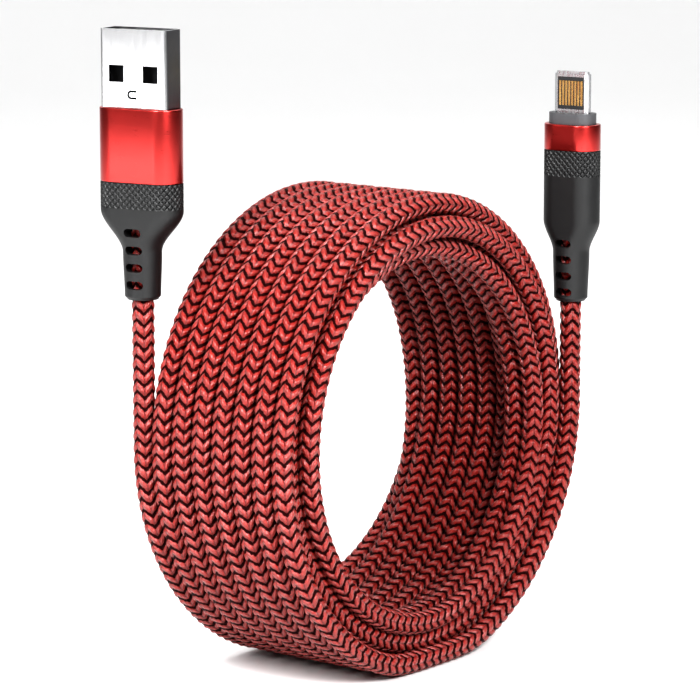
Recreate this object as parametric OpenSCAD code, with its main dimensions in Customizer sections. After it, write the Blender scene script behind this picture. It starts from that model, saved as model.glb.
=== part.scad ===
// Braided charging cable: a coil stands on its rim, with a USB-A plug on one end and
// a flat eight-contact connector on the other. The coil's axis runs along X, its near
// opening faces +X, and both plugs stand upright. The origin is the middle of the
// small flat that the coil rests on.

/* [Cord] */
// Diameter of the braided cord
cord_d = 3.65; // [3.4:0.05:3.8]

/* [Coil] */
// Radius from the coil's axis to the middle of its outer turns
coil_r = 37.4; // [36:0.2:40]
// Distance between neighbouring turns of the outer layer
turn_pitch = 4.0; // [3.9:0.05:4.2]
// How far the lowest turns are pressed flat by the coil's weight
flat_depth = 1.0; // [0.6:0.1:1.4]

/* [USB plug] */
// Width of the metal shell
usb_shell_w = 12.0; // [11.9:0.1:12.1]
// Thickness of the metal shell
usb_shell_t = 4.5; // [4.4:0.1:4.6]
// Length of shell that stands out of the collar
usb_shell_out = 12.2; // [11.8:0.2:13]
// Width of the collar and of the boot's wide end
usb_body_w = 14.0; // [13.8:0.2:14.6]
// Thickness of the collar and of the boot's wide end
usb_body_t = 6.4; // [6.2:0.2:7]
// Length of the metal collar
usb_collar_h = 11.6; // [11:0.2:13]
// Turn of the plug about its own length, in degrees
usb_turn = 10; // [-30:1:30]

/* [Flat connector] */
// Width of the flat metal tip
tip_w = 6.7; // [6.6:0.1:6.8]
// Thickness of the flat metal tip
tip_t = 1.5; // [1.5:0.1:1.6]
// Width of the connector's collar and boot
con_body_w = 9.9; // [9.9:0.1:10.6]
// Thickness of the connector's collar and boot
con_body_t = 6.2; // [6.2:0.2:7]
// Length of the connector's collar
con_collar_h = 4.4; // [4:0.2:5]
// Turn of the connector about its own length, in degrees
con_turn = 4; // [-30:1:30]

/* [Hidden] */
$fn = 48;

red = [0.72, 0.12, 0.10];
nickel = [0.78, 0.78, 0.78];
dark = [0.12, 0.12, 0.12];
gold = [0.85, 0.65, 0.30];
board_green = [0.10, 0.30, 0.16];
eps = 0.05;

// Seven and a half turns, so that the two tails leave on opposite sides.
turns = 7.5;
tail_x = turn_pitch * turns / 2;
coil_out_r = coil_r + cord_d / 2;
coil_z = coil_out_r - flat_depth;
// A second layer lies inside the first, and at the near rim a third one inside that.
layer_step = 4.2;
inner_step = 7.3;
// The turns at the far rim stand out a little beyond the even spacing.
rear_bulge = 1.8;
rim_chamfer = 1.2;
rim_cover = 1.4;
bore_r = coil_r - layer_step - cord_d / 2;
front_bore_r = coil_r - inner_step - cord_d / 2;
front_ring_x = 9.5;
front_ring_slope = 3;

// Heights above the coil's axis at which the cord enters each boot.
usb_boot_rise = 24.4;
con_boot_rise = 17.6;
usb_place = [-tail_x, -coil_r, coil_z + usb_boot_rise];
con_place = [tail_x, coil_r, coil_z + con_boot_rise];

// USB plug, measured up from the lower end of its boot.
usb_neck_h = 8.6;
usb_band_z = 14.4;
usb_boot_h = 18.4;
usb_top = usb_boot_h + usb_collar_h;
usb_tip = usb_top + usb_shell_out;
usb_shell_root = usb_boot_h + 4.4;
usb_cut_low = usb_shell_root - 1;
usb_wall = 0.3;
shell_corner = 0.5;
usb_in_w = usb_shell_w - 2 * usb_wall;
usb_in_t = usb_shell_t - 2 * usb_wall;
tongue_t = 1.85;
tongue_y = usb_in_t / 2 - tongue_t / 2;
tongue_face = tongue_y - tongue_t / 2;
tongue_root = usb_tip - 12;
usb_contact_pitch = 2.3;
usb_contact_w = 1.0;
usb_contact_t = 0.3;
usb_contact_root = usb_boot_h + 2.2;
usb_contact_l = usb_tip - 2 - usb_contact_root;
contact_play = 0.05;
contact_inset = 0.12;
collar_wall = 0.7;
window = 2.6;
window_x = 3.05;
window_drop = 6.9;
latch_drop = 10.1;
latch_w = 2.2;
latch_h = 1.4;
latch_gap = 0.32;
board_t = 0.8;
usb_board_w = 10;
usb_board_l = 5.6;
usb_board_low = usb_boot_h - 1.6;
usb_board_y = tongue_face + contact_inset - board_t - 0.02;
usb_mould_low = usb_boot_h - 3.0;
usb_pocket_w = 10.4;
usb_pocket_t = 3.4;
usb_wire_gap_w = 4.6;
wire_gap_t = 1.4;

// Both plugs: the ring that grips the cord, and the wires above it.
usb_clamp_z = 11.6;
con_clamp_z = 12.6;
clamp_h = 1.2;
clamp_hole = 2.6;
wire_count = 4;
wire_step = 0.6;
wire_d = 0.5;
joint_h = 0.35;
part_gap = 0.1;

// Flat connector, measured up from the lower end of its boot.
con_neck_h = 9.1;
con_shoulder_z = 13.4;
con_band_z = 21.1;
con_boot_h = 25.4;
con_top = con_boot_h + con_collar_h;
base_h = 1.8;
base_w = 8.4;
base_t = 4.4;
base_drop = 1.2;
tip_l = 6.9;
con_tip = con_top + base_h + tip_l;
tip_chamfer = 0.4;
root_low = con_boot_h + 2.2;
insert_w = 5.0;
insert_low = con_top + base_h + 0.6;
insert_high = con_tip - 0.9;
insert_middle = (insert_low + insert_high) / 2;
con_contact_pitch = 0.58;
con_contact_size = [0.40, 0.24, 4.1];
con_groove_size = [0.42, 0.3, 4.2];
con_board_w = 4.3;
con_board_low = con_boot_h - 4.5;
con_board_high = con_boot_h + 3.1;
con_mould_low = con_shoulder_z + 1.6;
con_mould_high = con_top - 1.25;
con_pocket_w = 5.2;
con_pocket_t = 2.6;
con_wire_gap_w = 3.4;
large_chip = [2.4, 0.5, 1.8];
small_chip = [1.6, 0.4, 1.2];

// Strain-relief slots through the boots' necks.
slot_w = 3.0;
slot_h = 1.3;
slot_pitch = 2.75;
usb_first_slot = 2.4;
con_first_slot = 1.6;
cable_hole = cord_d + part_gap;
neck_end_d = 4.9;
neck_low_d = 5.6;
neck_top_d = 6.1;

module stadium(w, t) {
    square([w - t, t], center = true);
    for (side = [-1, 1])
        translate([side * (w - t) / 2, 0]) circle(d = t);
}

module stadium_bar(w, t, low, high) {
    translate([0, 0, low]) linear_extrude(high - low) stadium(w, t);
}

module box_bar(w, t, low, high) {
    translate([-w / 2, -t / 2, low]) cube([w, t, high - low]);
}

module rounded_bar(w, t, r, low, high) {
    translate([0, 0, low]) linear_extrude(high - low) {
        square([w - 2 * r, t], center = true);
        square([w, t - 2 * r], center = true);
        for (x = [-1, 1], y = [-1, 1])
            translate([x * (w / 2 - r), y * (t / 2 - r)]) circle(r, $fn = 24);
    }
}

module thin_slice(section) {
    translate([0, 0, section[0]]) linear_extrude(0.01) stadium(section[1], section[2], $fn = 32);
}

// A solid through a list of [height, width, thickness] sections.
module lofted(sections) {
    for (i = [0 : len(sections) - 2])
        hull() {
            thin_slice(sections[i]);
            thin_slice(sections[i + 1]);
        }
}

module slots(count, first_z) {
    for (i = [0 : count - 1])
        translate([0, 0, first_z + i * slot_pitch]) rotate([90, 0, 0])
            translate([0, 0, -neck_top_d]) linear_extrude(2 * neck_top_d)
                stadium(slot_w, slot_h);
}

// ---- USB plug, each piece in the plug's own frame ----

module latch_cut() {
    difference() {
        stadium(latch_w, latch_h);
        stadium(latch_w - 2 * latch_gap, latch_h - 2 * latch_gap);
        translate([latch_w / 2, 0]) square([latch_w / 2, latch_h], center = true);
    }
}

module usb_shell() {
    color(nickel) at_usb() difference() {
        rounded_bar(usb_shell_w, usb_shell_t, shell_corner, usb_shell_root, usb_tip);
        box_bar(usb_in_w, usb_in_t, usb_cut_low, usb_tip + 1);
        for (side = [-1, 1])
            translate([side * window_x, 0, usb_tip - window_drop])
                cube([window, usb_shell_t + 1, window], center = true);
        // a small latch tab is cut free round three sides
        translate([0, -usb_shell_t / 2 + usb_wall + eps, usb_tip - latch_drop]) rotate([90, 0, 0])
            linear_extrude(usb_wall + 2 * eps) latch_cut();
    }
}

module usb_insulator() {
    color(dark) at_usb() difference() {
        union() {
            box_bar(usb_in_w - part_gap, usb_in_t - part_gap, usb_shell_root, tongue_root + 0.2);
            translate([0, tongue_y, 0])
                box_bar(usb_in_w - 0.4, tongue_t - part_gap, tongue_root, usb_tip - 0.4);
        }
        // one groove along the tongue for each contact
        for (i = [-1.5 : 1 : 1.5])
            translate([usb_groove_x(i), tongue_face + part_gap, usb_cut_low])
                cube([usb_contact_w + 2 * contact_play, 2 * usb_contact_t, 30]);
    }
}

function usb_groove_x(i) = usb_contact_pitch * i - usb_contact_w / 2 - contact_play;

module usb_contacts() {
    color(gold) at_usb()
        for (i = [-1.5 : 1 : 1.5])
            translate([usb_groove_x(i) + contact_play, tongue_face + contact_inset, usb_contact_root])
                cube([usb_contact_w, usb_contact_t, usb_contact_l]);
}

module usb_circuit_board() {
    color(board_green) at_usb() translate([-usb_board_w / 2, usb_board_y, usb_board_low])
        cube([usb_board_w, board_t, usb_board_l]);
}

module usb_solder_joints() {
    color(nickel) at_usb()
        for (i = [-1.5 : 1 : 1.5])
            translate([usb_contact_pitch * i, usb_board_y, usb_board_low + 1])
                rotate([90, 0, 0]) cylinder(h = joint_h, d1 = 1.1, d2 = 0.6);
}

module usb_inner_mould() {
    color(dark) at_usb() difference() {
        stadium_bar(usb_body_w - 2 * collar_wall - part_gap, usb_body_t - 2 * collar_wall - part_gap,
            usb_mould_low, usb_top - collar_wall);
        rounded_bar(usb_shell_w + 0.02, usb_shell_t + 0.02, shell_corner,
            usb_shell_root - 0.02, usb_tip);
        box_bar(usb_pocket_w, usb_pocket_t, usb_boot_h - 2, usb_shell_root + 0.1);
        box_bar(usb_wire_gap_w, wire_gap_t, usb_mould_low - 1, usb_boot_h);
    }
}

module usb_collar() {
    color(red) at_usb() difference() {
        stadium_bar(usb_body_w, usb_body_t, usb_boot_h, usb_top);
        stadium_bar(usb_body_w - 2 * collar_wall, usb_body_t - 2 * collar_wall,
            usb_boot_h - 1, usb_top - collar_wall);
        rounded_bar(usb_shell_w + 0.06, usb_shell_t + 0.06, shell_corner, usb_boot_h, usb_top + 1);
    }
}

module usb_boot() {
    color(dark) at_usb() difference() {
        union() {
            lofted([
                [0, neck_end_d, neck_end_d],
                [0.5, neck_low_d, neck_low_d],
                [usb_neck_h - 1.8, neck_top_d - 0.1, neck_top_d - 0.1],
                [usb_neck_h + 1.0, 7.2, neck_top_d],
                [usb_neck_h + 3.4, 11.8, neck_top_d],
                [usb_band_z, usb_body_w, usb_body_t]
            ]);
            stadium_bar(usb_body_w, usb_body_t, usb_band_z, usb_boot_h);
        }
        translate([0, 0, -1]) cylinder(h = usb_boot_h, d = cable_hole);
        stadium_bar(usb_body_w - 2 * collar_wall, usb_body_t - 2 * collar_wall,
            usb_mould_low - 0.05, usb_boot_h + 1);
        slots(4, usb_first_slot);
    }
}

module clamp_ring(low) {
    difference() {
        translate([0, 0, low]) cylinder(h = clamp_h, d = cable_hole);
        translate([0, 0, low - 1]) cylinder(h = clamp_h + 2, d = clamp_hole);
    }
}

module usb_cable_clamp() {
    color(nickel) at_usb() clamp_ring(usb_clamp_z);
}

module wires(low, high) {
    for (i = [0 : wire_count - 1])
        translate([(i - (wire_count - 1) / 2) * wire_step, 0, low])
            cylinder(h = high - low, d = wire_d, $fn = 16);
}

module usb_wires() {
    color(red) at_usb() wires(usb_clamp_z, usb_board_low - 0.1);
}

// ---- Flat connector, each piece in the connector's own frame ----

module connector_tip_frame() {
    color(nickel) at_con() difference() {
        union() {
            stadium_bar(tip_w, tip_t, con_top + base_h, con_tip - tip_chamfer);
            stadium_bar(tip_w - 0.6, tip_t - 0.5, con_top + base_h, con_tip);
            box_bar(tip_w - 0.8, tip_t - 0.2, root_low, con_top + base_h + eps);
        }
        box_bar(insert_w, tip_t + 1, insert_low, insert_high);
        // the board's end slides into the frame's root
        box_bar(con_board_w + part_gap, board_t + 0.04, con_boot_h, con_board_high + part_gap);
    }
}

module connector_insert() {
    color(dark) at_con() difference() {
        box_bar(insert_w - 0.02, tip_t - 0.1, insert_low + 0.01, insert_high - 0.01);
        for (side = [-1, 1], i = [-3.5 : 1 : 3.5])
            translate([i * con_contact_pitch, side * (tip_t / 2 - 0.1), insert_middle])
                cube(con_groove_size, center = true);
    }
}

module connector_contacts() {
    color(gold) at_con()
        for (side = [-1, 1], i = [-3.5 : 1 : 3.5])
            translate([i * con_contact_pitch, side * (tip_t / 2 - contact_inset), insert_middle])
                cube(con_contact_size, center = true);
}

module connector_base() {
    color(dark) at_con() difference() {
        stadium_bar(base_w, base_t, con_top - base_drop, con_top + base_h);
        box_bar(tip_w - 0.78, tip_t - 0.18, con_top - base_drop - 1, con_top + base_h + 1);
    }
}

module connector_circuit_board() {
    color(board_green) at_con()
        box_bar(con_board_w, board_t, con_board_low, con_board_high);
}

module connector_chips() {
    color(dark) at_con() {
        translate([0, -(board_t + large_chip.y) / 2 - 0.01, con_boot_h + 0.6])
            cube(large_chip, center = true);
        translate([0, (board_t + small_chip.y) / 2 + 0.01, con_boot_h + 0.4])
            cube(small_chip, center = true);
    }
}

module connector_solder_joints() {
    color(nickel) at_con()
        for (i = [-1.5 : 1 : 1.5])
            translate([i, -board_t / 2, con_board_low + 1.3])
                rotate([90, 0, 0]) cylinder(h = joint_h, d1 = 0.8, d2 = 0.5, $fn = 24);
}

module connector_inner_mould() {
    color(dark) at_con() difference() {
        stadium_bar(con_body_w - 2 * collar_wall - part_gap, con_body_t - 2 * collar_wall - part_gap,
            con_mould_low, con_mould_high);
        box_bar(con_pocket_w, con_pocket_t, con_board_low - 0.2, con_top);
        box_bar(tip_w, tip_t + 0.4, root_low - part_gap, con_top);
        box_bar(con_wire_gap_w, wire_gap_t, con_shoulder_z, con_boot_h);
    }
}

module connector_collar() {
    color(red) at_con() difference() {
        stadium_bar(con_body_w, con_body_t, con_boot_h, con_top);
        stadium_bar(con_body_w - 2 * collar_wall, con_body_t - 2 * collar_wall,
            con_boot_h - 1, con_top + 1);
    }
}

module connector_boot() {
    color(dark) at_con() difference() {
        union() {
            lofted([
                [0, neck_end_d, neck_end_d],
                [0.5, neck_low_d, neck_low_d],
                [con_neck_h - 1.2, neck_top_d - 0.1, neck_top_d - 0.1],
                [con_neck_h + 0.8, 6.8, neck_top_d],
                [con_shoulder_z - 1.6, con_body_w - 0.9, neck_top_d],
                [con_shoulder_z, con_body_w - 0.3, con_body_t - 0.1],
                [con_band_z, con_body_w, con_body_t]
            ]);
            stadium_bar(con_body_w, con_body_t, con_band_z, con_boot_h);
        }
        translate([0, 0, -1]) cylinder(h = con_shoulder_z + 2, d = cable_hole);
        stadium_bar(con_body_w - 2 * collar_wall, con_body_t - 2 * collar_wall,
            con_mould_low - 0.05, con_boot_h + 1);
        slots(4, con_first_slot);
    }
}

module connector_cable_clamp() {
    color(nickel) at_con() clamp_ring(con_clamp_z);
}

module connector_wires() {
    color(red) at_con() wires(con_clamp_z, con_board_low - 0.1);
}

// ---- Cord ----

// The outline of all the turns together, as [radius, place along the axis].
module coil_section() {
    e = rim_chamfer;
    half = tail_x + rim_cover;
    back = half + rear_bulge;
    polygon([
        [bore_r, -back + e], [bore_r + e, -back], [coil_out_r - e, -back], [coil_out_r, -back + e],
        [coil_out_r, half - e], [coil_out_r - e, half], [front_bore_r + e, half],
        [front_bore_r, half - e], [front_bore_r, front_ring_x],
        [bore_r, front_ring_x - front_ring_slope]
    ]);
}

module coil_ring() {
    translate([0, 0, coil_z]) rotate([0, 90, 0]) rotate_extrude($fn = 96) coil_section();
}

module cable_coil() {
    color(red) difference() {
        coil_ring();
        // the flat that the coil rests on
        translate([-coil_r, -coil_r, -flat_depth - 1]) cube([2 * coil_r, 2 * coil_r, flat_depth + 1]);
    }
}

// Route of each tail's middle line, from inside its boot down to the coil.
usb_tail_route = [[0, 0, 11.5], [0, 0, 4], [0, 0, -6], [0, 0, -14], [0, 0, -20]];
con_tail_route = [[0, 0, 12.5], [0, 0, 4], [0, 0, -4], [0, 0, -10], [0, 0, -14]];
sides = 8;

function ring_at(p) = [for (k = [0 : sides - 1])
    p + cord_d / 2 * [cos(360 * k / sides), sin(360 * k / sides), 0]];

function ring_points(route) = [for (p = route) each ring_at(p)];

function wall_faces(count) = [for (i = [0 : count - 2], k = [0 : sides - 1])
    [i * sides + k, i * sides + (k + 1) % sides,
     (i + 1) * sides + (k + 1) % sides, (i + 1) * sides + k]];

module swept(route) {
    last = (len(route) - 1) * sides;
    polyhedron(
        points = ring_points(route),
        faces = concat(
            [[for (k = [sides - 1 : -1 : 0]) k]],
            wall_faces(len(route)),
            [[for (k = [0 : sides - 1]) last + k]]
        )
    );
}

module usb_tail() {
    color(red) difference() {
        translate(usb_place) swept(usb_tail_route);
        coil_ring();
    }
}

module connector_tail() {
    color(red) difference() {
        translate(con_place) swept(con_tail_route);
        coil_ring();
    }
}

module at_usb() {
    translate(usb_place) rotate(usb_turn) children();
}

module at_con() {
    translate(con_place) rotate(con_turn) children();
}

usb_shell();
usb_insulator();
usb_contacts();
usb_circuit_board();
usb_solder_joints();
usb_inner_mould();
usb_collar();
usb_boot();
usb_cable_clamp();
usb_wires();
connector_tip_frame();
connector_insert();
connector_contacts();
connector_base();
connector_circuit_board();
connector_chips();
connector_solder_joints();
connector_inner_mould();
connector_collar();
connector_boot();
connector_cable_clamp();
connector_wires();
cable_coil();
usb_tail();
connector_tail();
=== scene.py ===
import math

import bmesh
import bpy
import numpy as np
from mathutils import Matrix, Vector


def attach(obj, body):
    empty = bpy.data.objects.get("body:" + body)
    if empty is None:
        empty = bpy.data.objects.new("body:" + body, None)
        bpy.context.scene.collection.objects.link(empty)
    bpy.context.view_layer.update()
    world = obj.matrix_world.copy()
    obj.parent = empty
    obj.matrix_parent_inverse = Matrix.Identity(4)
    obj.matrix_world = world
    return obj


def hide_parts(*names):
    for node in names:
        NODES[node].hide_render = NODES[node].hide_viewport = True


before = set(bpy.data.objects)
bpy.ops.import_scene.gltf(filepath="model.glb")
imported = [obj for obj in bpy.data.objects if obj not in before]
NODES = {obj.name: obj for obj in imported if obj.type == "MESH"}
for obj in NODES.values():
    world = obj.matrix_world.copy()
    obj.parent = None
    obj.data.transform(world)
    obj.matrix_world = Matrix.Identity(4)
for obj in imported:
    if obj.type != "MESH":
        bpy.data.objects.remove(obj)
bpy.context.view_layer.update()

MM = 0.001

# ---- The object's sizes in millimetres, the same as in the CAD source ----

CORD_D = 3.65
CORD_R = CORD_D / 2
COIL_R = 37.4
PITCH = 4.0
TURNS = 7.5
TAIL_X = PITCH * TURNS / 2
COIL_Z = COIL_R + CORD_R - 1.0
USB_PLACE = Vector((-TAIL_X, -COIL_R, COIL_Z + 24.4))
CON_PLACE = Vector((TAIL_X, COIL_R, COIL_Z + 17.6))
USB_TURN = math.radians(10)
CON_TURN = math.radians(4)

USB_W, USB_T, USB_SHELL_W, USB_SHELL_T = 14.0, 6.4, 12.0, 4.5
USB_BAND_Z, USB_BOOT_H, USB_COLLAR_H = 14.4, 18.4, 11.6
CON_W, CON_T = 9.9, 6.2
CON_BAND_Z, CON_BOOT_H, CON_COLLAR_H = 21.1, 25.4, 4.4
WALL = 0.7
SHELL_CORNER = 0.5
BORE_D = CORD_D + 0.1
SLOT_COUNT = 4
SLOT_W, SLOT_H, SLOT_PITCH = 3.0, 1.3, 2.75
USB_FIRST_SLOT, CON_FIRST_SLOT = 2.4, 1.6

# A round corner stays this much under half the thickness, so that every straight has a length.
CORNER_GAP = 0.001


def smooth(t):
    """Eases from 0 to 1 as t goes from 0 to 1."""
    t = np.clip(t, 0.0, 1.0)
    return t * t * (3 - 2 * t)


# ---- Camera: long lens, a little above the coil's middle, from its right ----

CAMERA_AZIMUTH = math.radians(37.5)
CAMERA_ELEVATION = math.radians(11.3)
CAMERA_DISTANCE = 568 * MM
CAMERA_LENS = 178.7
COIL_BELOW_CENTRE = 12.4 * MM
COIL_RIGHT_OF_CENTRE = 2.4 * MM


def way_to(azimuth, elevation):
    """The direction from the object to an azimuth, counted from -Y towards +X, and a height."""
    flat = math.cos(elevation)
    return Vector((math.sin(azimuth) * flat, -math.cos(azimuth) * flat, math.sin(elevation)))


def make_camera():
    back = way_to(CAMERA_AZIMUTH, CAMERA_ELEVATION)
    right = Vector((math.cos(CAMERA_AZIMUTH), math.sin(CAMERA_AZIMUTH), 0))
    up = back.cross(right)
    coil_middle = Vector((0, 0, COIL_Z * MM))
    place = coil_middle + back * CAMERA_DISTANCE
    aim = coil_middle + up * COIL_BELOW_CENTRE - right * COIL_RIGHT_OF_CENTRE
    camera = bpy.data.objects.new("camera", bpy.data.cameras.new("camera"))
    bpy.context.scene.collection.objects.link(camera)
    camera.location = place
    camera.rotation_mode = "QUATERNION"
    camera.rotation_quaternion = (aim - place).to_track_quat("-Z", "Y")
    camera.data.lens = CAMERA_LENS
    camera.data.sensor_width = 36
    camera.data.clip_start = 0.01
    camera.data.clip_end = 50
    bpy.context.scene.camera = camera


make_camera()


# ---- Cord ----

# The winding, as (turns from the start, radius of the turn, place along the axis).
# The cord starts on the outer layer at the rear, dives under, fills the second layer
# towards the front, makes an inner turn and a half there, crosses back inside the coil,
# climbs out behind the rear rim and fills the outer layer to the front.
SECOND_R = COIL_R - 4.2
SECOND_FRONT_R = COIL_R - 3.5
INNER_R = COIL_R - 6.9
WINDING = [
    (0.00, COIL_R, -15.0),
    (0.25, COIL_R, -14.0),
    (0.55, SECOND_R, -14.8),
    (6.00, SECOND_R, 7.0),
    (7.80, SECOND_FRONT_R, 14.4),
    (8.20, INNER_R, 13.4),
    (9.20, INNER_R, 9.6),
    (9.82, INNER_R, 7.5),
    (10.18, INNER_R, -16.6),
    (10.45, COIL_R, -17.0),
    (10.68, COIL_R, -12.4),
    (17.50, COIL_R, 15.0),
]
# Heights above the coil's axis of the cord's two ends, inside the boots
USB_TAIL_TOP = 35.9
CON_TAIL_TOP = 30.1
TAIL_POINTS = 90
WOUND_POINTS = 18000
# Points over which a change of place along the axis is smoothed
BLUR = 150
RING_STEP = 0.475
CORD_SIDES = 20
# The braid: rows along the cord, and Vs round it that reach 0.6 of a row
ROW_PITCH = 1.9
VEES = 4
VEE_HEIGHT = 0.6
YARN_RISE = 0.12
YARN_CROWN = 0.76
# How softly the lowest turns go flat where they rest
SETTLE = 0.5


def winding_points():
    knots = np.array(WINDING)
    u = np.linspace(0, knots[-1, 0], WOUND_POINTS)
    i = np.clip(np.searchsorted(knots[:, 0], u, side="right") - 1, 0, len(knots) - 2)
    part = (u - knots[i, 0]) / (knots[i + 1, 0] - knots[i, 0])
    radius = knots[i, 1] + (knots[i + 1, 1] - knots[i, 1]) * smooth(part)
    x = np.interp(u, knots[:, 0], knots[:, 2])
    blur = np.hanning(2 * BLUR + 1)
    blur /= blur.sum()
    x = np.convolve(np.pad(x, BLUR, mode="reflect", reflect_type="odd"), blur, mode="valid")
    out = np.stack([np.zeros_like(u), -np.cos(2 * np.pi * u), -np.sin(2 * np.pi * u)], 1)
    y, z = radius * out[:, 1], COIL_Z + radius * out[:, 2]
    return np.stack([x, y, z], 1), out


def upright(point, heights):
    """Points above or below one place."""
    n = len(heights)
    return np.stack([np.full(n, point[0]), np.full(n, point[1]), heights], 1)


def cord_route():
    """Distances along the cord, its middle line, the way out of the coil, and its length."""
    wound, out = winding_points()
    down = np.linspace(COIL_Z + USB_TAIL_TOP, COIL_Z, TAIL_POINTS, endpoint=False)
    rise = np.linspace(COIL_Z, COIL_Z + CON_TAIL_TOP, TAIL_POINTS)[1:]
    points = np.vstack([upright(wound[0], down), wound, upright(wound[-1], rise)])
    outward = np.vstack([np.tile(out[0], (len(down), 1)), out, np.tile(out[-1], (len(rise), 1))])
    # the turns under the coil are pressed flat on the surface that it stands on
    lift = points[:, 2] - CORD_R
    points[:, 2] = CORD_R + SETTLE * np.logaddexp(0, lift / SETTLE)
    length = np.concatenate([[0], np.cumsum(np.linalg.norm(np.diff(points, axis=0), axis=1))])
    s = np.arange(0, length[-1], RING_STEP)
    route = np.stack([np.interp(s, length, points[:, k]) for k in range(3)], 1)
    normal = np.stack([np.interp(s, length, outward[:, k]) for k in range(3)], 1)
    return s, route, normal, length[-1]


def braid_row(around, along):
    """How far a point is through its row of the braid, from 0 to 1."""
    vee = np.abs((around * VEES) % 1.0 - 0.5) * 2
    return (along / ROW_PITCH + VEE_HEIGHT * vee) % 1.0


def mesh_object(name, verts, faces, smooth_faces=True):
    mesh = bpy.data.meshes.new(name)
    mesh.from_pydata(verts, [], faces)
    mesh.update()
    if smooth_faces:
        mesh.polygons.foreach_set("use_smooth", np.ones(len(mesh.polygons), bool))
    piece = bpy.data.objects.new(name, mesh)
    bpy.context.scene.collection.objects.link(piece)
    return piece


def grid_quads(rings, count, closed):
    """Faces between neighbouring rings of points, round each ring."""
    i = np.arange(rings if closed else rings - 1)[:, None]
    k = np.arange(count)[None, :]
    here, there = i * count, (i + 1) % rings * count
    after = (k + 1) % count
    return np.stack([here + k, here + after, there + after, there + k], -1).reshape(-1, 4)


def make_cord():
    s, route, normal, length = cord_route()
    n = len(s)
    tangent = np.gradient(route, axis=0)
    tangent /= np.linalg.norm(tangent, axis=1)[:, None]
    normal -= (normal * tangent).sum(1)[:, None] * tangent
    normal /= np.linalg.norm(normal, axis=1)[:, None]
    side = np.cross(tangent, normal)
    around = np.arange(CORD_SIDES) / CORD_SIDES
    row = braid_row(around[None, :], s[:, None])
    radius = CORD_R - YARN_RISE + YARN_RISE * np.cos(2 * np.pi * (row - YARN_CROWN))
    angle = 2 * np.pi * around
    spoke = normal[:, None, :] * np.cos(angle)[None, :, None]
    spoke = spoke + side[:, None, :] * np.sin(angle)[None, :, None]
    verts = (route[:, None, :] + spoke * radius[:, :, None]).reshape(-1, 3)
    verts[:, 2] = np.maximum(verts[:, 2], 0.0)
    quads = grid_quads(n, CORD_SIDES, False)
    ends = [list(range(CORD_SIDES))[::-1], list(range((n - 1) * CORD_SIDES, n * CORD_SIDES))]
    cord = mesh_object("braided_cord", (verts * MM).tolist(), quads.tolist() + ends)
    # the map runs once round the cord, and one unit a row along it
    weave = cord.data.uv_layers.new(name="weave")
    k = np.arange(CORD_SIDES)[None, :]
    u = np.broadcast_to(np.stack([k, k + 1, k + 1, k], -1) / CORD_SIDES, (n - 1, CORD_SIDES, 4))
    low, high = s[:-1, None] / ROW_PITCH, s[1:, None] / ROW_PITCH
    v = np.stack(np.broadcast_arrays(low, low, high, high), -1)
    v = np.broadcast_to(v, (n - 1, CORD_SIDES, 4))
    uv = np.stack([u, v], -1).reshape(-1, 2)
    uv = np.vstack([uv, np.zeros((2 * CORD_SIDES, 2))])
    weave.data.foreach_set("uv", uv.astype(np.float32).ravel())
    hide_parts("cable_coil", "usb_tail", "connector_tail")
    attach(cord, "root")
    return cord, route, length


cord, cord_path, cord_length = make_cord()


# ---- Shapes ----


def outline(w, t, r, count):
    """Points evenly spaced round a rounded rectangle, from the middle of its +X side."""
    a, b = w / 2 - r, t / 2 - r
    arc = math.pi * r / 2
    lengths = [b, arc, 2 * a, arc, 2 * b, arc, 2 * a, arc, b]
    ends = np.concatenate([[0], np.cumsum(lengths)])
    d = np.arange(count) / count * ends[-1]
    points = np.zeros((count, 2))
    corners = [(a, b, 0), (-a, b, 90), (-a, -b, 180), (a, -b, 270)]
    straights = [((w / 2, 0), (0, 1)), ((a, t / 2), (-1, 0)), ((-w / 2, b), (0, -1)),
                 ((-a, -t / 2), (1, 0)), ((w / 2, -b), (0, 1))]
    for j in range(9):
        on = (d >= ends[j]) & (d < ends[j + 1])
        into = d[on] - ends[j]
        if j % 2 == 0:
            start, way = straights[j // 2]
            points[on] = np.array(start) + into[:, None] * np.array(way)
        else:
            x, y, first = corners[j // 2]
            angle = math.radians(first) + into / r
            points[on] = np.stack([x + r * np.cos(angle), y + r * np.sin(angle)], 1)
    return points


def ring_loop(name, rings, place, turn):
    """A closed solid through a closed loop of rings, such as a sleeve with a wall."""
    verts = put_in_place(np.vstack(rings), place, turn)
    quads = grid_quads(len(rings), len(rings[0]), True)
    return mesh_object(name, verts, quads.tolist())


def put_in_place(points, place, turn):
    """Points in a plug's own frame, turned about Z and moved to the plug's place."""
    c, s = math.cos(turn), math.sin(turn)
    turned = points @ np.array([[c, s, 0], [-s, c, 0], [0, 0, 1]])
    return ((turned + np.array(place)) * MM).tolist()


def round_outline(w, t, count):
    """An outline whose narrow sides are half circles."""
    return outline(w, t, min(w, t) / 2 - CORNER_GAP, count)


def level(points, z):
    return np.column_stack([points, np.full(len(points), z)])


def face_outwards(piece):
    work = bmesh.new()
    work.from_mesh(piece.data)
    bmesh.ops.recalc_face_normals(work, faces=work.faces)
    work.to_mesh(piece.data)
    work.free()


def cut(piece, cutters):
    """Takes the cutters out of the piece and removes them."""
    face_outwards(piece)
    for cutter in cutters:
        face_outwards(cutter)
        step = piece.modifiers.new("cut", "BOOLEAN")
        step.object = cutter
        step.operation = "DIFFERENCE"
        step.solver = "EXACT"
    depsgraph = bpy.context.evaluated_depsgraph_get()
    made = bpy.data.meshes.new_from_object(piece.evaluated_get(depsgraph))
    piece.modifiers.clear()
    piece.data = made
    for cutter in cutters:
        bpy.data.objects.remove(cutter)


KNURL_DEPTH = 0.2
KNURL_PITCH = 1.05
KNURL_EDGE = 0.15
GROOVE_SHARE = 0.2


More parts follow.
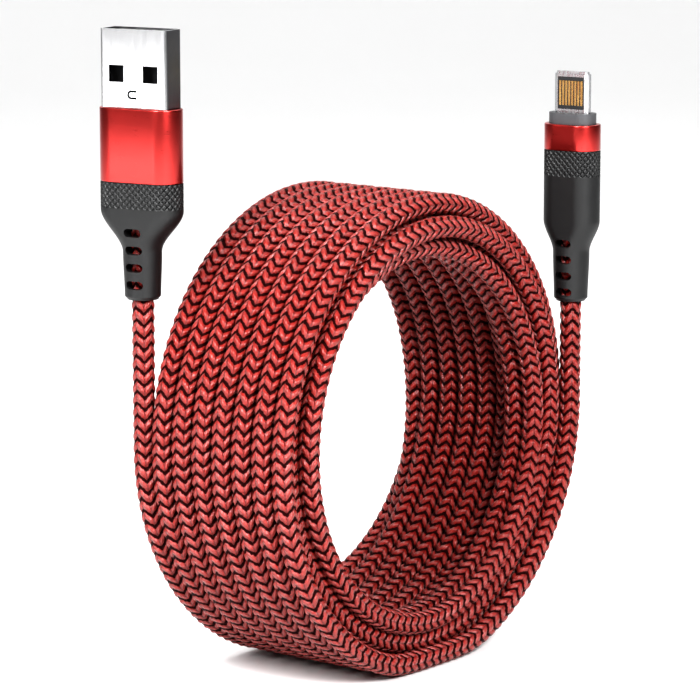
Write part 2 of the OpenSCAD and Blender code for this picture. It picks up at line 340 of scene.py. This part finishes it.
def knurl(points, z, first, last):
    """Moves a ring of points out and in to leave raised diamonds."""
    count = len(points)
    edges = np.roll(points, -1, axis=0) - points
    round_length = np.linalg.norm(edges, axis=1).sum()
    diamonds = round(round_length / KNURL_PITCH)
    u = np.arange(count) / count * diamonds
    v = (z - first) / KNURL_PITCH
    one, two = (u + v) % 1.0, (u - v) % 1.0
    groove = np.minimum(np.minimum(one, 1 - one), np.minimum(two, 1 - two))
    height = np.clip(groove / GROOVE_SHARE, 0, 1)
    fade = smooth((z - first) / KNURL_EDGE) * smooth((last - z) / KNURL_EDGE)
    across = np.roll(points, -1, axis=0) - np.roll(points, 1, axis=0)
    out = np.column_stack([across[:, 1], -across[:, 0]])
    out /= np.linalg.norm(out, axis=1)[:, None]
    return points - out * (KNURL_DEPTH * (1 - height) * fade)[:, None]


# The neck's diameter at its lower end, and what its rounded edge and its taper add
NECK_END_D, NECK_EDGE, NECK_TAPER = 4.9, 0.75, 0.45
NECK_EDGE_H = 0.55
BOOT_POINTS, COLLAR_POINTS, SLOT_POINTS = 352, 160, 40
TOP_EASE, TOP_EASE_H = 0.08, 0.12


def boot_size(z, w, t, neck_top, body_from, top):
    """A boot's width and thickness at a height, from its neck to its wide body."""
    neck = NECK_END_D + NECK_EDGE * smooth(z / NECK_EDGE_H) + NECK_TAPER * smooth(z / neck_top)
    part = smooth((z - neck_top) / (body_from - neck_top))
    ease = TOP_EASE * (1 - smooth((top - z) / TOP_EASE_H))
    return neck + (w - neck) * part - ease, neck + (t - neck) * part - ease


def make_boot(name, node, place, turn, w, t, neck_top, body_from, band, top, first_slot):
    """A hollow boot with a knurled band at its top and slots through its neck."""
    edge = list(np.arange(0, 0.6, 0.1))
    plain = list(np.arange(0.6, band, 0.22))
    knurled = list(np.arange(band, top - 0.05, 0.09)) + [top - 0.1, top]
    rings = []
    for z in edge + plain + knurled:
        points = round_outline(*boot_size(z, w, t, neck_top, body_from, top), BOOT_POINTS)
        if z > band:
            points = knurl(points, z, band, top)
        rings.append(level(points, z))
    pocket = body_from + 0.2
    inside = round_outline(w - 2 * WALL, t - 2 * WALL, BOOT_POINTS)
    hole = round_outline(BORE_D, BORE_D, BOOT_POINTS)
    rings += [level(inside, top), level(inside, pocket), level(hole, pocket), level(hole, 0)]
    boot = ring_loop(name, rings, place, turn)
    cut(boot, [slot_cutter(place + Vector((0, 0, first_slot + i * SLOT_PITCH)), turn)
               for i in range(SLOT_COUNT)])
    sharpen(boot)
    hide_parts(node)
    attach(boot, "root")
    return boot


def slot_cutter(middle, turn):
    """A bar with round narrow sides that goes right through a neck along Y."""
    n = SLOT_POINTS
    shape = round_outline(SLOT_W, SLOT_H, n)
    near = np.column_stack([shape[:, 0], np.full(n, -8.0), shape[:, 1]])
    far = near + np.array([0, 16.0, 0])
    verts = put_in_place(np.vstack([near, far]), middle, turn)
    faces = grid_quads(2, n, False).tolist()
    faces += [list(range(n))[::-1], list(range(n, 2 * n))]
    return mesh_object("cutter", verts, faces, smooth_faces=False)


def sharpen(piece, angle=35):
    """Smooth shading with sharp edges where faces meet at more than the angle."""
    work = bmesh.new()
    work.from_mesh(piece.data)
    bmesh.ops.recalc_face_normals(work, faces=work.faces)
    for face in work.faces:
        face.smooth = True
    limit = math.radians(angle)
    for edge in work.edges:
        if len(edge.link_faces) == 2:
            edge.smooth = edge.calc_face_angle(0) < limit
    work.to_mesh(piece.data)
    work.free()


def make_collar(name, node, place, turn, w, t, low, high, opening):
    """A metal sleeve with eased edges. opening is the hole in its top: width, thickness, radius."""
    ease = 0.22
    inside = round_outline(w - 2 * WALL, t - 2 * WALL, COLLAR_POINTS)
    edge = []
    for step in range(5):
        a = math.radians(90 - 22.5 * step)
        inset, rise = ease * (1 - math.cos(a)), ease * (1 - math.sin(a))
        edge.append((round_outline(w - 2 * inset, t - 2 * inset, COLLAR_POINTS), rise))
    rings = [level(inside, low)]
    rings += [level(points, low + rise) for points, rise in edge]
    rings += [level(points, high - rise) for points, rise in edge[::-1]]
    if opening:
        mouth = outline(*opening, COLLAR_POINTS)
        rings += [level(mouth, high), level(mouth, high - WALL), level(inside, high - WALL)]
    else:
        rings.append(level(inside, high))
    collar = ring_loop(name, rings, place, turn)
    sharpen(collar, 40)
    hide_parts(node)
    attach(collar, "root")
    return collar


usb_boot = make_boot("usb_boot_skin", "usb_boot", USB_PLACE, USB_TURN, USB_W, USB_T,
                     7.4, 14.0, USB_BAND_Z, USB_BOOT_H, USB_FIRST_SLOT)
con_boot = make_boot("connector_boot_skin", "connector_boot", CON_PLACE, CON_TURN, CON_W, CON_T,
                     8.2, 13.6, CON_BAND_Z, CON_BOOT_H, CON_FIRST_SLOT)
usb_collar = make_collar("usb_collar_skin", "usb_collar", USB_PLACE, USB_TURN, USB_W, USB_T,
                         USB_BOOT_H, USB_BOOT_H + USB_COLLAR_H,
                         (USB_SHELL_W + 0.06, USB_SHELL_T + 0.06, SHELL_CORNER))
con_collar = make_collar("connector_collar_skin", "connector_collar", CON_PLACE, CON_TURN,
                         CON_W, CON_T, CON_BOOT_H, CON_BOOT_H + CON_COLLAR_H, None)


# ---- Materials ----


class Shader:
    """A material with one Principled shader, and short calls to add and join nodes."""

    def __init__(self, name, colour, metallic=0.0, roughness=0.5, **sockets):
        self.material = bpy.data.materials.new(name)
        self.material.use_nodes = True
        self.tree = self.material.node_tree
        self.shader = self.tree.nodes["Principled BSDF"]
        self.put("Base Color", (*colour, 1))
        self.put("Metallic", metallic)
        self.put("Roughness", roughness)
        for socket, value in sockets.items():
            self.put(socket.replace("_", " "), value)

    def put(self, socket, value):
        if isinstance(value, bpy.types.NodeSocket):
            self.tree.links.new(value, self.shader.inputs[socket])
        else:
            self.shader.inputs[socket].default_value = value

    def node(self, kind, inputs=None, **settings):
        made = self.tree.nodes.new(kind)
        for name, value in settings.items():
            setattr(made, name, value)
        for name, value in (inputs or {}).items():
            if isinstance(value, bpy.types.NodeSocket):
                self.tree.links.new(value, made.inputs[name])
            else:
                made.inputs[name].default_value = value
        return made

    def math(self, operation, a, b=0.0, c=0.0, clamp=False):
        inputs = {0: a, 1: b, 2: c}
        return self.node("ShaderNodeMath", inputs, operation=operation, use_clamp=clamp).outputs[0]

    def place(self):
        return self.node("ShaderNodeTexCoord").outputs["Object"]

    def noise(self, scale, detail=2.0, vector=None):
        inputs = {"Scale": scale, "Detail": detail, "Vector": vector or self.place()}
        return self.node("ShaderNodeTexNoise", inputs).outputs["Fac"]

    def stretch(self, scale):
        inputs = {"Vector": self.place(), "Scale": scale}
        return self.node("ShaderNodeMapping", inputs).outputs["Vector"]

    def span(self, value, low, high):
        inputs = {"Value": value, "To Min": low, "To Max": high}
        return self.node("ShaderNodeMapRange", inputs).outputs["Result"]

    def mix(self, fac, a, b):
        made = self.node("ShaderNodeMix", data_type="RGBA")
        for index, value in ((0, fac), (6, a), (7, b)):
            if isinstance(value, bpy.types.NodeSocket):
                self.tree.links.new(value, made.inputs[index])
            elif index == 0:
                made.inputs[index].default_value = value
            else:
                made.inputs[index].default_value = (*value, 1)
        return made.outputs[2]

    def bump(self, height, strength, distance):
        inputs = {"Height": height, "Strength": strength, "Distance": distance}
        self.put("Normal", self.node("ShaderNodeBump", inputs).outputs["Normal"])


def paint(piece, material):
    piece.data.materials.clear()
    piece.data.materials.append(material)


def grained(name, colour, other, scale, roughness, metallic=0.0, depth=0.02 * MM, **sockets):
    """A plain moulded or plated surface: two near colours, uneven gloss and fine grain."""
    m = Shader(name, colour, metallic, **sockets)
    wide = m.noise(scale * 0.2)
    fine = m.noise(scale, 4.0)
    m.put("Base Color", m.mix(wide, colour, other))
    m.put("Roughness", m.span(fine, roughness * 0.85, roughness * 1.15))
    m.bump(fine, 0.4, depth)
    return m.material


def brushed(name, colour, other, roughness, lines, depth=0.004 * MM, **sockets):
    """Metal with fine lines along one way."""
    m = Shader(name, colour, 1.0, **sockets)
    streaks = m.noise(1.0, 6.0, m.stretch(lines))
    wide = m.noise(260, 2.0)
    m.put("Base Color", m.mix(wide, colour, other))
    m.put("Roughness", m.span(streaks, roughness * 0.7, roughness * 1.4))
    m.bump(streaks, 0.35, depth)
    return m.material


def plated_shell():
    """Bright nickel with fine lines, with painted shade that darkens the two narrow sides."""
    # the darker of these two colours is painted shade for the two narrow sides; the brighter is the
    # nickel itself
    bright, side_shade = (0.93, 0.93, 0.94), (0.17, 0.17, 0.175)
    m = Shader("nickel", bright, 1.0)
    way = (math.cos(USB_TURN), math.sin(USB_TURN), 0)
    normal = m.node("ShaderNodeNewGeometry").outputs["True Normal"]
    facing = m.node("ShaderNodeVectorMath", {0: normal, 1: way}, operation="DOT_PRODUCT")
    side = m.math("ABSOLUTE", facing.outputs["Value"])
    side = m.node("ShaderNodeMapRange", {"Value": side, "From Min": 0.3, "From Max": 0.95})
    streaks = m.noise(1.0, 6.0, m.stretch((3000, 3000, 200)))
    # painted shade: faces whose normal points along the narrow sides take the dark grey in place of
    # bright nickel
    m.put("Base Color", m.mix(side.outputs["Result"], bright, side_shade))
    m.put("Roughness", m.span(streaks, 0.12, 0.24))
    m.bump(streaks, 0.3, 0.004 * MM)
    return m.material


def braid():
    """Rows of black zigzag lines on red, each yarn with its own threads."""
    red = (0.36, 0.024, 0.016)
    deep = (0.12, 0.004, 0.003)
    black = (0.018, 0.002, 0.002)
    m = Shader("braid", red, 0.0, 0.5, Sheen_Roughness=0.25)
    m.put("Sheen Tint", (1.0, 0.5, 0.45, 1))
    weave = m.node("ShaderNodeUVMap", uv_map="weave").outputs["UV"]
    split = m.node("ShaderNodeSeparateXYZ", {"Vector": weave})
    around, along = split.outputs[0], split.outputs[1]
    wobble = m.span(m.noise(1500, 2.0), -0.16, 0.16)
    turn = m.math("FRACT", m.math("MULTIPLY", around, float(VEES)))
    vee = m.math("MULTIPLY", m.math("ABSOLUTE", m.math("SUBTRACT", turn, 0.5)), 2.0)
    row = m.math("FRACT", m.math("ADD", m.math("MULTIPLY_ADD", vee, VEE_HEIGHT, along), wobble))
    # one dark line in each row, of uneven width
    line = m.math("ABSOLUTE", m.math("SUBTRACT", row, 0.27))
    width = m.span(m.noise(2100, 1.0), 0.10, 0.24)
    dark = m.math("MULTIPLY_ADD", m.math("SUBTRACT", width, line), 14.0, 0.5, True)
    yarn_side = m.math("SINE", m.math("MULTIPLY", vee, math.pi))
    # painted shade: a narrow dark line in the gap between yarns where the Vs turn, mixed towards the
    # deep red
    yarn_gap_shade = m.node("ShaderNodeMapRange", {"Value": yarn_side, "From Min": 0.05, "From Max": 0.45,
                                          "To Min": 1.0, "To Max": 0.0}).outputs["Result"]
    # fine threads along each yarn
    threads = m.math("SINE", m.math("MULTIPLY", m.math("ADD", vee, m.math("MULTIPLY", row, 0.8)), 22.0))
    shade = m.math("MULTIPLY_ADD", threads, 0.18, m.noise(1500, 3.0))
    yarn = m.mix(m.span(shade, -0.1, 1.0), red, deep)
    m.put("Base Color", m.mix(dark, m.mix(yarn_gap_shade, yarn, deep), black))
    m.put("Sheen Weight", m.span(dark, 0.2, 0.0))
    m.put("Specular IOR Level", m.span(dark, 0.8, 0.05))
    m.put("Roughness", m.span(shade, 0.28, 0.48))
    # each yarn's crown lies halfway between two dark lines
    crown = m.math("COSINE", m.math("MULTIPLY", m.math("SUBTRACT", row, 0.77), 2 * math.pi))
    height = m.math("MULTIPLY_ADD", yarn_side, 0.8, m.math("MULTIPLY_ADD", threads, 0.12, crown))
    m.bump(height, 1.0, 0.2 * MM)
    return m.material


def make_materials():
    nickel = plated_shell()
    steel = brushed("satin_steel", (0.72, 0.72, 0.73), (0.62, 0.62, 0.64), 0.26, (3000, 3000, 250))
    red_metal = brushed("red_anodised", (0.50, 0.034, 0.030), (0.45, 0.030, 0.026), 0.30,
                        (400, 400, 5000), 0.001 * MM, Coat_Weight=0.7, Coat_Roughness=0.28)
    gold = brushed("gold_plate", (0.90, 0.66, 0.28), (0.80, 0.55, 0.22), 0.22, (2500, 2500, 300))
    rubber = grained("black_rubber", (0.007, 0.0072, 0.0075), (0.011, 0.0112, 0.0115), 2600, 0.45)
    board = grained("green_board", (0.02, 0.16, 0.06), (0.03, 0.22, 0.09), 1500, 0.35)
    mould = grained("grey_mould", (0.24, 0.24, 0.25), (0.30, 0.30, 0.31), 1500, 0.5)
    black = grained("black_plastic", (0.018, 0.018, 0.019), (0.030, 0.030, 0.031), 2200, 0.32)
    base = grained("base_plastic", (0.055, 0.056, 0.060), (0.075, 0.076, 0.080), 2200, 0.42)
    wire = grained("wire_skin", (0.50, 0.05, 0.04), (0.40, 0.03, 0.03), 1500, 0.4)
    by_node = {
        "usb_shell": nickel, "usb_insulator": black, "usb_contacts": gold,
        "usb_circuit_board": board, "usb_solder_joints": steel, "usb_inner_mould": mould,
        "usb_cable_clamp": steel, "usb_wires": wire, "connector_tip_frame": steel,
        "connector_insert": black, "connector_contacts": gold, "connector_base": base,
        "connector_circuit_board": board, "connector_chips": black,
        "connector_solder_joints": steel, "connector_inner_mould": mould,
        "connector_cable_clamp": steel, "connector_wires": wire,
    }
    for node, material in by_node.items():
        paint(NODES[node], material)
    paint(usb_boot, rubber)
    paint(con_boot, rubber)
    paint(usb_collar, red_metal)
    paint(con_collar, red_metal)
    paint(cord, braid())


make_materials()


# ---- Floor and light ----


def make_floor():
    """A pale floor that curves up behind the object."""
    width, front, behind, height, bend = 3.0, -2.0, 1.6, 2.2, 0.7
    profile = [(front, 0.0), (behind - bend, 0.0)]
    for i in range(1, 13):
        a = math.radians(90 * i / 12)
        profile.append((behind - bend + bend * math.sin(a), bend * (1 - math.cos(a))))
    profile.append((behind, height))
    turn = CAMERA_AZIMUTH
    verts = []
    for side in (-width, width):
        for depth, z in profile:
            verts.append((side * math.cos(turn) - depth * math.sin(turn),
                          side * math.sin(turn) + depth * math.cos(turn), z))
    n = len(profile)
    faces = [[i, i + 1, n + i + 1, n + i] for i in range(n - 1)]
    floor = mesh_object("floor", verts, faces)
    m = Shader("pale_floor", (0.90, 0.90, 0.90), 0.0, 0.75)
    m.put("Base Color", m.mix(m.noise(6), (0.90, 0.90, 0.90), (0.87, 0.87, 0.87)))
    paint(floor, m.material)


def area_light(name, azimuth, elevation, distance, size, power, target=(0, 0, COIL_Z)):
    """A soft box that looks at the coil or another target. Azimuth is counted like the camera's."""
    data = bpy.data.lights.new(name, "AREA")
    data.shape = "RECTANGLE"
    data.size, data.size_y = size
    data.energy = power
    light = bpy.data.objects.new(name, data)
    bpy.context.scene.collection.objects.link(light)
    back = way_to(math.radians(azimuth), math.radians(elevation))
    light.location = Vector(target) * MM + back * distance
    light.rotation_mode = "QUATERNION"
    light.rotation_quaternion = (-back).to_track_quat("-Z", "Y")


make_floor()
area_light("key", -2, 42, 0.6, (0.2, 0.4), 4.8)
area_light("overhead", 62, 32, 0.7, (0.2, 0.2), 6.2)
area_light("backdrop_left", -115, 40, 1.5, (1.2, 1.2), 4.5)
area_light("backdrop_right", 175, 55, 1.6, (1.2, 1.2), 9.0)
# a small card low on the left, which the USB shell and collar mirror
area_light("plug_card", -17, -11, 0.3, (0.10, 0.06), 0.045,
           USB_PLACE + Vector((0, 0, USB_BOOT_H + USB_COLLAR_H)))

world = bpy.data.worlds.new("studio")
world.use_nodes = True
world.node_tree.nodes["Background"].inputs["Color"].default_value = (1.0, 1.0, 1.0, 1)
world.node_tree.nodes["Background"].inputs["Strength"].default_value = 0.02
bpy.context.scene.world = world
bpy.context.scene.view_settings.view_transform = "Standard"
bpy.context.scene.view_settings.look = "High Contrast"
